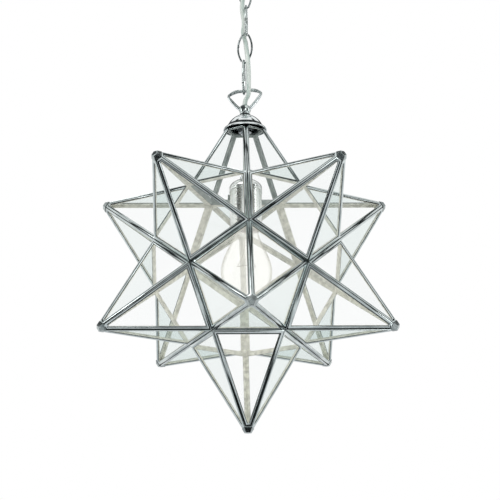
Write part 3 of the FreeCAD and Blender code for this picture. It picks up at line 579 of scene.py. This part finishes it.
@dataclass
class Studio:
    """The camera at the photograph's view, the pale floor, the lamps and the cards.

    The camera's place and aim were solved from the star's points in the photograph.
    """

    distance: float = 2.12113
    rise: float = -0.26286
    turn: float = 0.030087
    pan: float = 0.0020454
    tilt: float = -0.0079642
    roll: float = 0.0099232
    focal_share: float = 1820.1 / 500
    sensor_mm: float = 36.0
    floor_z: float = -1.35
    lamps: tuple[Lamp, ...] = (
        Lamp("soft_key", (-1.1, -1.3, 1.3), 0.9, 0.9, 9.0),
        Lamp("strip_left", (-1.45, -0.35, 0.1), 0.12, 2.0, 3.4),
        Lamp("strip_right", (1.4, -0.5, 0.0), 0.14, 2.0, 3.6),
        Lamp("strip_low", (0.95, -0.85, -0.85), 0.2, 0.9, 2.2),
        Lamp("strip_front", (0.35, -1.7, 0.35), 0.16, 1.2, 2.6),
    )
    cards: tuple[Card, ...] = (
        Card("flag_left", -52, -10, 1.2, 3.0),
        Card("flag_right", 54, -8, 1.1, 3.0),
        Card("flag_front", -6, -40, 0.9, 1.0),
        Card("flag_high_left", -97, 47, 0.28, 1.3),
        Card("flag_high_right", 99, 47, 0.28, 1.3),
        Card("flag_above", 4, 31, 1.7, 0.55),
        Card("flag_rear_above", 180, 42, 1.6, 0.5),
        Card("flag_rear_left", -152, 28, 0.95, 0.6),
        Card("flag_rear_right", 152, 28, 0.95, 0.6),
        Card("flag_below", 0, -62, 1.3, 0.55, 0.9),
    )

    def camera(self) -> None:
        """Places the camera below the star, looking up at it."""
        data = bpy.data.cameras.new("photograph_view")
        data.sensor_fit = "HORIZONTAL"
        data.sensor_width = self.sensor_mm
        data.lens = self.sensor_mm * self.focal_share
        eye = Vector((0.0, -self.distance * math.cos(self.rise), self.distance * math.sin(self.rise)))
        ahead = -eye.normalized()
        right = Vector((1.0, 0.0, 0.0))
        up = right.cross(ahead)
        level = Matrix((right, up, -ahead))
        aim = (
            Matrix.Rotation(self.roll, 3, "Z")
            @ Matrix.Rotation(self.tilt, 3, "X")
            @ Matrix.Rotation(self.pan, 3, "Y")
            @ level
            @ Matrix.Rotation(self.turn, 3, "Z")
        )
        camera = bpy.data.objects.new("photograph_view", data)
        spot = STAR_CENTRE + Matrix.Rotation(-self.turn, 3, "Z") @ eye
        camera.matrix_world = Matrix.Translation(spot) @ aim.transposed().to_4x4()
        bpy.context.scene.collection.objects.link(camera)
        bpy.context.scene.camera = camera

    def floor(self) -> None:
        """Makes the pale floor, which lights the star from below and isn't itself in the picture."""
        floor = square("floor", 6.0, self.floor_z, 8)
        nodes = Nodes(bpy.data.materials.new("pale_floor"))
        shader = nodes.add("ShaderNodeBsdfPrincipled", Roughness=0.9)
        paper = nodes.noise(3.0, 3.0)
        colour = nodes.ramp(paper, [(0.3, (0.93, 0.93, 0.93)), (0.7, (0.97, 0.97, 0.97))])
        nodes.join(colour, shader.inputs["Base Color"])
        floor.data.materials.append(nodes.finish(shader.outputs["BSDF"]))
        floor.visible_camera = False

    def hang_card(self, card: Card) -> None:
        """Hangs a black card, hidden from all but mirror reflections."""
        around = math.radians(card.azimuth_deg)
        above = math.radians(card.elevation_deg)
        outward = Vector(
            (math.cos(above) * math.sin(around), -math.cos(above) * math.cos(around), math.sin(above))
        )
        piece = square(card.name, 0.5)
        piece.matrix_world = (
            Matrix.Translation(STAR_CENTRE + outward * card.distance)
            @ outward.to_track_quat("Z", "Y").to_matrix().to_4x4()
            @ Matrix.Diagonal((card.width, card.height, 1.0, 1.0))
        )
        nodes = Nodes(bpy.data.materials.new(card.name + "_cloth"))
        shader = nodes.add("ShaderNodeBsdfDiffuse")
        cloth = nodes.noise(40.0, 2.0)
        colour = nodes.ramp(cloth, [(0.3, (0.01, 0.012, 0.012)), (0.7, (0.03, 0.034, 0.034))])
        nodes.join(colour, shader.inputs["Color"])
        piece.data.materials.append(nodes.finish(shader.outputs["BSDF"]))
        piece.visible_camera = False
        piece.visible_diffuse = False
        piece.visible_transmission = False
        piece.visible_shadow = False

    def surroundings(self) -> None:
        """Sets white surroundings for the camera and mirrors, and a softer white as a light."""
        nodes = Nodes(bpy.data.worlds.new("white_studio"))
        rays = nodes.add("ShaderNodeLightPath").outputs
        direct = nodes.arithmetic("MAXIMUM", rays["Is Camera Ray"], rays["Is Glossy Ray"])
        seen = nodes.arithmetic("MAXIMUM", direct, rays["Is Transmission Ray"])
        soft = nodes.add("ShaderNodeBackground", Color=(0.95, 0.97, 1.0, 1.0), Strength=0.7)
        white = nodes.add("ShaderNodeBackground", Color=(1.0, 1.0, 1.0, 1.0), Strength=1.0)
        mixed = nodes.mix(seen, soft.outputs["Background"], white.outputs["Background"])
        bpy.context.scene.world = nodes.finish(mixed)

    def hang_lamp(self, lamp: Lamp) -> None:
        """Hangs a soft lamp, turned to the star."""
        data = bpy.data.lights.new(lamp.name, "AREA")
        data.shape = "RECTANGLE"
        data.size = lamp.width
        data.size_y = lamp.height
        data.energy = lamp.watts
        light = bpy.data.objects.new(lamp.name, data)
        turn = Vector(lamp.away).to_track_quat("Z", "Y").to_matrix().to_4x4()
        light.matrix_world = Matrix.Translation(STAR_CENTRE + Vector(lamp.away)) @ turn
        bpy.context.scene.collection.objects.link(light)

    def build(self) -> None:
        """Makes the camera, the floor, the lights and the cards, and lets light pass many panes."""
        scene = bpy.context.scene
        scene.view_settings.view_transform = "Standard"
        scene.cycles.transparent_max_bounces = 96
        scene.cycles.max_bounces = 24
        scene.cycles.glossy_bounces = 8
        self.camera()
        self.floor()
        self.surroundings()
        for lamp in self.lamps:
            self.hang_lamp(lamp)
        for card in self.cards:
            self.hang_card(card)
        LOG.info("studio: %d lamps, %d cards", len(self.lamps), len(self.cards))


# ------------------------------------------------------------------ the cable and the chain


@dataclass
class WovenCable:
    """The clear cable woven through the chain, and its stretch inside the star."""

    radius_mm: float = 2.7
    upper_mm: tuple[Point, ...] = (
        (0.0, 0.0, 398.0),
        (0.0, 0.0, 384.0),
        (0.5, -0.2, 369.5),
        (5.6, -3.1, 357.5),
        (0.6, -5.8, 346.0),
        (-0.73, -6.23, 336.0),
    )
    lower_mm: tuple[Point, ...] = (
        (-0.73, -6.23, 336.0),
        (-2.2, -6.7, 325.0),
        (-2.3, -3.0, 316.0),
        (0.8, 1.5, 303.0),
        (-1.5, 6.7, 291.0),
        (1.7, 4.6, 281.0),
        (2.5, 0.5, 270.0),
        (3.9, -5.2, 254.5),
        (4.8, -4.9, 236.0),
        (4.5, -7.3, 217.0),
        (4.7, -5.5, 208.0),
        (0.0, 0.0, 202.5),
        (0.0, 0.0, 197.4),
    )
    inner_mm: tuple[Point, ...] = (
        (0.0, 0.0, 164.0),
        (0.05, 0.0, 146.0),
        (0.0, 0.04, 131.0),
        (0.0, 0.0, 115.0),
    )

    def stretch(
        self, node: str, route_mm: tuple[Point, ...], bodies: tuple[str, str], bend_mm: tuple[float, float]
    ) -> None:
        """Makes one stretch of the cable.

        Args:
            node: The node it replaces.
            route_mm: Its control points, with heights above the star's centre.
            bodies: The bodies it joins, the upper one first; not used.
            bend_mm: Heights between which it would bend; not used.
        """
        route = [(x * MM, y * MM, at(height)) for x, y, height in route_mm]
        path = spline_path(node + "_line", route, 10)
        mesh = tube_mesh(node + "_sheath", path, self.radius_mm * MM)
        piece = piece_from(node + "_sheath", mesh, [Finish.SHEATH])
        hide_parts(node)
        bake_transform(piece)
        LOG.info("%s: %.1f mm", node, path_length(path) / MM)

    def build(self) -> None:
        """Makes the three free stretches and dresses the stretch in the stem."""
        self.stretch("cable_upper", self.upper_mm, ("ceiling", "chain"), (372, 344))
        self.stretch("cable_lower", self.lower_mm, ("chain", "star"), (236, 203))
        self.stretch("cable_inner", self.inner_mm, ("star", "lampholder"), (161, 122))
        dress("cable_stem", Finish.SHEATH)


@dataclass
class Chain:
    """The four wire links, each with the seam where its wire's ends meet."""

    wire_radius_mm: float = 1.15
    seam_swell_mm: float = 0.06
    seam_levels_mm: tuple[float, ...] = (-0.55, -0.3, 0.3, 0.55)
    seams_mm: tuple[Point, ...] = (
        (-2.4, -7.6, 222.6),
        (-7.05, 0.0, 271.3),
        (3.75, 7.7, 311.0),
        (8.85, 3.45, 341.0),
    )

    def build(self) -> None:
        """Dresses the links and adds their seams."""
        for number, (x, y, height) in enumerate(self.seams_mm, start=1):
            dress(f"chain_link_{number}", Finish.WIRE if number % 2 else Finish.WIRE_DARK)
            path = [Vector((x * MM, y * MM, at(height + level))) for level in self.seam_levels_mm]
            radius = (self.wire_radius_mm + self.seam_swell_mm) * MM
            mesh = tube_mesh(f"link_seam_{number}", path, radius, 16)
            band = piece_from(f"link_seam_{number}", mesh, [Finish.SEAM])
            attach(band, "chain")
        LOG.info("chain: %d links", len(self.seams_mm))


# ------------------------------------------------------------------ the star


def direction_of(azimuth_deg: float, rise: float) -> Vector:
    """Returns a unit vector; azimuth 0 is the front, -Y, and 90 is +X."""
    around = math.radians(azimuth_deg)
    flat = math.sqrt(1 - rise * rise)
    return Vector((flat * math.sin(around), -flat * math.cos(around), rise))


@dataclass
class Star:
    """The twelve spikes: rounded channels round each pane, glass in them, and caps on the tips.

    A channel is wide_mm across on the pane and deep_mm into the spike. Its rounded outside, the crown,
    starts and ends crown_start_deg up an arc, and the two powers square it off.
    """

    reach_mm: float = 205.0
    tip_cut_mm: float = 12.0
    cap_plane_mm: float = 166.0
    door_gap_mm: float = 0.4
    wide_mm: float = 5.0
    deep_mm: float = 3.2
    crown_mm: float = 1.9
    crown_points: int = 13
    crown_start_deg: float = 12.0
    across_power: float = 0.8
    down_power: float = 0.85
    top_rail_share: float = 0.58
    spikes: dict[str, tuple[Vector, Vector]] = field(init=False)
    edge_mm: float = field(init=False)
    inradius_mm: float = field(init=False)
    slant_mm: float = field(init=False)

    def __post_init__(self) -> None:
        """Works out the directions of the spikes and the sizes of a pane."""
        up, down = Vector((0, 0, 1)), Vector((0, 0, -1))
        self.spikes = {"top": (up, direction_of(180, RISE)), "bottom": (down, direction_of(0, -RISE))}
        upper = {
            "upper_front_left": -36,
            "upper_front_right": 36,
            "upper_left": -108,
            "upper_right": 108,
            "upper_rear": 180,
        }
        lower = {
            "lower_front": 0,
            "lower_left": -72,
            "lower_right": 72,
            "lower_rear_left": -144,
            "lower_rear_right": 144,
        }
        for name, azimuth in upper.items():
            self.spikes[name] = (direction_of(azimuth, RISE), up)
        for name, azimuth in lower.items():
            self.spikes[name] = (direction_of(azimuth, -RISE), down)
        spike_height = math.sqrt((5 + 2 * math.sqrt(5)) / 5)
        inradius = GOLDEN**2 / (2 * math.sqrt(3 - GOLDEN))
        self.edge_mm = self.reach_mm / (spike_height + inradius)
        self.inradius_mm = self.edge_mm * inradius
        self.slant_mm = self.edge_mm * GOLDEN * math.cos(HALF_TIP)

    def section(self) -> list[tuple[float, float, bool]]:
        """Returns the channel's rounded section.

        Returns:
            Points of inset and depth in millimetres, each with whether it is on the mitred side.
        """
        wide = self.wide_mm
        deep = self.deep_mm
        half = wide / 2
        widest = math.cos(math.radians(self.crown_start_deg))
        arc_deg = 180 - 2 * self.crown_start_deg
        crown = []
        for step in range(self.crown_points):
            angle = math.radians(self.crown_start_deg + arc_deg * step / (self.crown_points - 1))
            across = math.copysign(abs(math.cos(angle) / widest) ** self.across_power, math.cos(angle))
            down = 1 - math.sin(angle) ** self.down_power
            crown.append((half - (half - 0.05) * across, self.crown_mm * down))
        inner = [
            (wide, deep - 1.0), (wide - 0.25, deep - 0.55), (wide - 0.8, deep - 0.15),
            (wide - 1.8, deep), (2.6, deep - 0.05), (1.6, deep - 0.3),
        ]
        section = [(inset, depth, inset < 0.6) for inset, depth in crown]
        section += [(inset, depth, False) for inset, depth in inner]
        section.append((0.12, deep - 0.9, True))
        return section

    def ring(self, bm: bmesh.types.BMesh, place: Matrix, top_mm: float, gap_mm: float, rail: float) -> None:
        """Adds one pane's channel to a mesh.

        Its faces take the first finish on the crown, the second, a painted reflection tone, inside the spike,
        and the third, a near-black painted shade, along the crown's two edges.

        Args:
            bm: The mesh.
            place: The pane's place.
            top_mm: Height of the pane's outline above its base.
            gap_mm: Gap left along its base.
            rail: Width of its top rail, as a share of the channel's.
        """
        mitre = 1 / GOLDEN
        top_lean = 0.5
        narrowest_mm = 0.02
        loops = []
        for inset, depth, mitred in self.section():
            side = inset + (mitre * depth if mitred else 0.0)
            low = inset + gap_mm - (mitre * depth if mitred else 0.0)
            high = top_mm - inset * rail + (top_lean * depth if mitred else 0.0)
            loop = []
            for level, sign in ((low, -1), (low, 1), (high, 1), (high, -1)):
                half = (self.slant_mm - level) * math.tan(HALF_TIP) - side / math.cos(HALF_TIP)
                spot = Vector((sign * max(half, narrowest_mm) * MM, level * MM, -depth * MM))
                loop.append(bm.verts.new(place @ spot))
            loops.append(loop)
        last = self.crown_points - 1
        for index, first in enumerate(loops):
            second = loops[(index + 1) % len(loops)]
            # The faces at the crown's two edges take the painted shade, and the inner faces take the painted
            # reflection tone.
            finish = 1 if index >= last else 2 if index in (0, 1, last - 2, last - 1) else 0
            for corner in range(4):
                after = (corner + 1) % 4
                face = bm.faces.new((first[corner], first[after], second[after], second[corner]))
                face.material_index = finish

    def spike(self, name: str, body: str) -> None:
        """Makes one spike's channels and dresses its glass."""
        direction, neighbour = self.spikes[name]
        upright = (neighbour - direction * neighbour.dot(direction)).normalized()
        across = upright.cross(direction)
        turn = Matrix((across, upright, direction)).transposed()
        apothem = self.edge_mm / (2 * math.tan(HALF_SIDE))
        cut = self.reach_mm - self.cap_plane_mm if name == "top" else self.tip_cut_mm
        top = self.slant_mm - cut * math.sqrt(5) / 2
        gap = self.door_gap_mm if name == "upper_rear" else 0.0
        rail = self.top_rail_share if name == "top" else 1.0
        stand = Matrix.Translation(STAR_CENTRE) @ turn.to_4x4()
        bm = bmesh.new()
        apex = Vector((0, 0, self.reach_mm))
        for step in range(5):
            around = TAU / 4 + 2 * HALF_SIDE * step
            outward = Vector((math.cos(around), math.sin(around), 0))
            normal = outward * math.sqrt(1 - RISE * RISE) + Vector((0, 0, RISE))
            middle = outward * apothem + Vector((0, 0, self.inradius_mm))
            rise = (apex - middle).normalized()
            local = Matrix((rise.cross(normal), rise, normal)).transposed()
            place = stand @ Matrix.Translation(middle * MM) @ local.to_4x4()
            self.ring(bm, place, top, gap, rail)
        mesh = mesh_of(f"channels_{name}", bm, CHANNEL_SHARP)
        # The inner faces take a painted reflection tone that depends on the spike's place, darkest as painted
        # shade on the top spike.
        inside = Finish.INNER
        if name == "top":
            inside = Finish.INNER_TOP
        elif name.startswith("upper"):
            inside = Finish.INNER_UPPER
        piece = piece_from(f"channels_{name}", mesh, [Finish.CHANNEL, inside, Finish.GROOVE])
        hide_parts(f"frame_{name}")
        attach(piece, body)
        dress(f"glass_{name}", Finish.PANE)

    def build(self) -> None:
        """Makes the spikes, and dresses the tip caps and the door's hinge."""
        for name in self.spikes:
            self.spike(name, "door" if name == "upper_rear" else "star")
        for name in ("tip_caps", "door_tip_cap"):
            dress(name, Finish.SOLDER)
        for name in ("hinge_fixed_leaf", "hinge_door_leaf"):
            dress(name, Finish.CHANNEL)
        dress("hinge_pin", Finish.ZINC)
        LOG.info("star: %d spikes", len(self.spikes))


# ------------------------------------------------------------------ the hanger and the cap


@dataclass
class Hanger:
    """The bail with its ball, the stem, and the domed cap with its flared brim."""

    cap_foot_mm: float = 165.2
    ball_level_mm: float = 191.0
    bar_level_mm: float = 214.4
    turn_deg: float = -17.0
    rod_steps: int = 6

    def rod(self, name: str, course: list[Point], finishes: list[Finish]) -> bpy.types.Object:
        """Makes one rod of the bail.

        Args:
            name: The rod's name.
            course: Reach, height and radius of its points in millimetres.
            finishes: Its finish, and that of its outer side if it has its own; on the arms these paint shade
                on the rest and a highlight on the outer side.

        Returns:
            The object.
        """
        turn = Matrix.Rotation(math.radians(self.turn_deg), 3, "Z")
        spots = eased([(across, height) for across, height, _ in course], self.rod_steps)
        sizes = eased([(across, radius) for across, _, radius in course], self.rod_steps)
        path = []
        for across, height in spots:
            path.append(turn @ Vector((across * MM, 0.0, 0.0)) + Vector((0.0, 0.0, at(height))))
        mesh = tube_mesh(name, path, [radius * MM for _, radius in sizes], 24)
        if len(finishes) > 1:
            # On the arms, faces that look outward and down take the bright cap finish as painted highlight,
            # and the rest take the darker painted shade.
            outward = turn @ Vector((math.copysign(0.75, course[0][0]), 0.0, -0.66))
            for face in mesh.polygons:
                faces_out = face.normal.dot(outward) > 0.35
                face.material_index = 1 if faces_out else 0
        piece = piece_from(name, mesh, finishes)
        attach(piece, "star")
        return piece

    def bail(self) -> None:
        """Makes the bail: two arms, a mottled bar with pointed corners, and the ball with its collar."""
        low = self.ball_level_mm
        crown = self.bar_level_mm
        bar = [
            (20.9, crown - 4.9, 0.95), (19.6, crown - 3.5, 1.55), (16.6, crown - 1.6, 1.85),
            (12.8, crown - 0.1, 2.1), (8.6, crown + 0.75, 2.05), (4.6, crown + 0.5, 1.85),
            (0.0, crown + 0.19, 1.75),
        ]
        mirrored = [(-across, height, radius) for across, height, radius in reversed(bar[:-1])]
        whole = self.rod("bail_bar", bar + mirrored, [Finish.CASTING])
        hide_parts("hanger_bail")
        for side, name in ((-1, "bail_arm_left"), (1, "bail_arm_right")):
            arm = [
                (side * 4.6, low + 0.4, 2.1), (side * 8.0, low + 3.1, 2.1),
                (side * 12.6, low + 7.9, 2.05), (side * 16.6, low + 12.8, 1.95),
                (side * 19.6, low + 16.9, 1.6), (side * 20.9, crown - 4.7, 1.0),
            ]
            self.rod(name, arm, [Finish.ARM, Finish.CAP])
        ball = [
            (3.4, 6.0), (4.8, 5.0), (6.1, 3.2), (6.8, 1.0), (6.9, -0.8), (6.4, -2.9), (5.6, -4.5),
            (5.3, -5.2),
        ]
        round_ball = eased(ball)
        collar = [(6.1, -5.5), (6.45, -6.0), (6.2, -6.7), (5.1, -7.0), (3.4, -7.0)]
        collar_start = len(round_ball) - 1
        knob = lathe("hanger_ball", round_ball + collar, low, Finish.KNOB, 64, Finish.SEAM, collar_start)
        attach(knob, "star")

    def cap(self) -> None:
        """Makes the cap, its brim and a near-black ring of painted shade at the fold between them."""
        outer = [
            (5.3, 18.6), (8.0, 17.9), (12.0, 15.9), (15.6, 13.1), (18.4, 9.9), (20.2, 6.9),
            (20.6, 5.9),
        ]
        brim = [(20.9, 5.2), (21.6, 3.9), (23.1, 3.2), (24.5, 2.3), (25.4, 1.2), (25.95, 0.0)]
        inner = [
            (24.9, 0.0), (24.1, 1.2), (22.4, 2.2), (20.6, 3.4), (19.2, 6.4), (17.2, 9.4),
            (14.4, 12.2), (10.8, 14.6), (5.3, 17.2),
        ]
        outside = eased(outer) + eased(brim)
        piece = lathe(
            "cap_with_brim",
            outside + eased(inner),
            self.cap_foot_mm,
            Finish.CAP,
            lining=Finish.SHADED,
            lined_from=len(outside),
        )
        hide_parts("cap_dome")
        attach(piece, "star")
        # A near-black ring at the fold paints the shade line between the dome and the brim.
        fold = [
            (20.4, 6.6), (20.9, 5.6), (21.3, 4.6), (21.9, 3.75), (22.6, 3.45), (21.6, 3.6),
            (20.8, 4.9), (20.2, 6.4),
        ]
        seam = lathe("cap_fold", fold, self.cap_foot_mm, Finish.FOLD)
        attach(seam, "star")

    def build(self) -> None:
        """Makes the cap and the bail, and dresses the screw, the stem and the spider."""
        self.cap()
        self.bail()
        dress("clamp_screw", Finish.SEAM)
        dress("stem_tube", Finish.CAP)
        dress("spider_plate", Finish.SHADED)
        dress("stem_nut", Finish.ZINC)
        LOG.info("hanger: cap and bail")


@dataclass
class CeilingFitting:
    """The canopy cup and its hardware, above the photograph's edge."""

    radius_mm: float = 50.0
    low_mm: float = 377.0
    height_mm: float = 27.7
    wall_mm: float = 1.2
    hole_mm: float = 5.0

    def build(self) -> None:
        """Makes the cup and dresses the rest."""
        radius = self.radius_mm
        wall = self.wall_mm
        height = self.height_mm
        outer = [
            (self.hole_mm, 0.0), (radius - 20.0, 0.0), (radius - 5.5, 0.0), (radius - 2.4, 0.9),
            (radius - 0.6, 2.7), (radius, 5.4), (radius, 12.0), (radius, height),
        ]
        inner = [
            (radius - wall, height), (radius - wall, 12.0), (radius - wall, 5.6),
            (radius - 1.7, 3.6), (radius - 3.1, 2.1), (radius - 5.7, wall), (radius - 20.0, wall),
            (self.hole_mm, wall),
        ]
        cup = lathe("canopy_shell", outer + inner, self.low_mm, Finish.CAP, 128)
        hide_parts("canopy_cup")
        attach(cup, "ceiling")
        dress("loop_collar", Finish.CAP)
        for name in ("ceiling_bracket", "threaded_nipple", "nipple_nuts"):
            dress(name, Finish.ZINC)
        dress("terminal_block", Finish.TERMINAL)
        dress("lead_wires", Finish.INSULATION)
        LOG.info("ceiling fitting: canopy and bracket")


# ------------------------------------------------------------------ the lampholder and the bulb


@dataclass
class Lampholder:
    """The lampholder that hangs on the cable inside the star."""

    radius_mm: float = 19.25
    dome_foot_mm: float = 92.0
    barrel_foot_mm: float = 42.0

    def build(self) -> None:
        """Makes the cover and the body, and dresses the rest."""
        radius = self.radius_mm
        outer = [
            (radius, 0.2), (radius, 1.4), (radius - 0.8, 3.6), (radius - 3.0, 6.4),
            (radius - 6.4, 8.9), (radius - 10.4, 10.7), (4.0, 11.6),
        ]
        inner = [
            (4.0, 10.5), (radius - 10.8, 9.6), (radius - 7.0, 7.9), (radius - 3.9, 5.6),
            (radius - 1.9, 3.0), (radius - 1.2, 0.2),
        ]
        cover = lathe("holder_dome", eased(outer) + eased(inner), self.dome_foot_mm, Finish.HOLDER)
        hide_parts("holder_cover")
        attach(cover, "lampholder")
        body = [
            (radius - 2.0, 0.0), (radius - 0.7, 0.0), (radius - 0.1, 0.5), (radius, 1.4),
            (radius, 3.0), (radius - 0.5, 3.5), (radius - 0.5, 44.5), (radius, 45.2),
            (radius, 49.6), (radius - 0.4, 50.0), (radius - 2.0, 50.0),
        ]
        barrel = lathe("holder_barrel", body, self.barrel_foot_mm, Finish.HOLDER)
        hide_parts("holder_body")
        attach(barrel, "lampholder")
        dress("cable_grip", Finish.CAP)
        dress("holder_insert", Finish.CERAMIC)
        dress("threaded_shell", Finish.NICKEL)
        dress("centre_contact", Finish.BRASS)
        LOG.info("lampholder: barrel and dome")


@dataclass
class Bulb:
    """The clear pear-shaped bulb, with its filament on two wires."""

    wall_mm: float = 0.8
    half_span_mm: float = 11.0
    filament_level_mm: float = -3.0
    arch_mm: float = 2.0
    coil_mm: float = 0.45
    coil_wire_mm: float = 0.14
    support_wire_mm: float = 0.28
    coil_turns: int = 46
    turn_steps: int = 10

    def glass(self) -> None:
        """Makes the bulb's glass."""
        outer = [
            (0.3, -40.0), (8.0, -38.9), (16.0, -35.3), (22.9, -29.4), (27.9, -21.4), (29.9, -11.5),
            (29.3, -2.0), (26.4, 8.0), (22.2, 17.5), (18.0, 26.5), (15.3, 34.5), (14.2, 41.9),
        ]
        wall = self.wall_mm
        inner = []
        for across, height in reversed(outer):
            lift = wall if height < -30 else 0.0
            inner.append((max(across - wall, 0.2), height + lift))
        bulb = lathe("bulb_envelope", eased(outer) + eased(inner), 0.0, Finish.BULB)
        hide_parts("bulb_glass")
        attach(bulb, "bulb")

    def wires(self) -> None:
        """Makes the filament and what carries it."""
        for side in (-1, 1):
            route = [
                (side * 1.6 * MM, 0.0, at(30.0)),
                (side * 2.2 * MM, 0.0, at(18.0)),
                (side * 5.5 * MM, 0.0, at(6.0)),
                (side * self.half_span_mm * MM, 0.0, at(self.filament_level_mm)),
            ]
            path = spline_path("wire_line", route, 8)
            name = "support_wire_left" if side < 0 else "support_wire_right"
            mesh = tube_mesh("support_wire", path, self.support_wire_mm * MM, 10)
            wire = piece_from(name, mesh, [Finish.NICKEL])
            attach(wire, "bulb")
        path = []
        steps = self.coil_turns * self.turn_steps
        for step in range(steps + 1):
            share = step / steps
            around = TAU * step / self.turn_steps
            level = self.arch_mm * math.sin(math.pi * share) + self.filament_level_mm
            across = self.half_span_mm * (2 * share - 1)
            height = level + self.coil_mm * math.sin(around)
            path.append(Vector((across * MM, self.coil_mm * math.cos(around) * MM, at(height))))
        mesh = tube_mesh("filament_coil", path, self.coil_wire_mm * MM, 6)
        coil = piece_from("filament_coil", mesh, [Finish.FILAMENT])
        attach(coil, "bulb")

    def build(self) -> None:
        """Makes the bulb."""
        self.glass()
        self.wires()
        dress("bulb_stem", Finish.BULB)
        dress("bulb_cap", Finish.NICKEL)
        dress("bulb_contact", Finish.BRASS)
        LOG.info("bulb: glass and filament")


def main() -> None:
    """Builds the scene in order."""
    logging.basicConfig(level=logging.INFO, format="%(message)s")
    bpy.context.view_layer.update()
    Studio().build()
    WovenCable().build()
    Chain().build()
    Star().build()
    Hanger().build()
    CeilingFitting().build()
    Lampholder().build()
    Bulb().build()


if __name__ == "__main__":
    main()
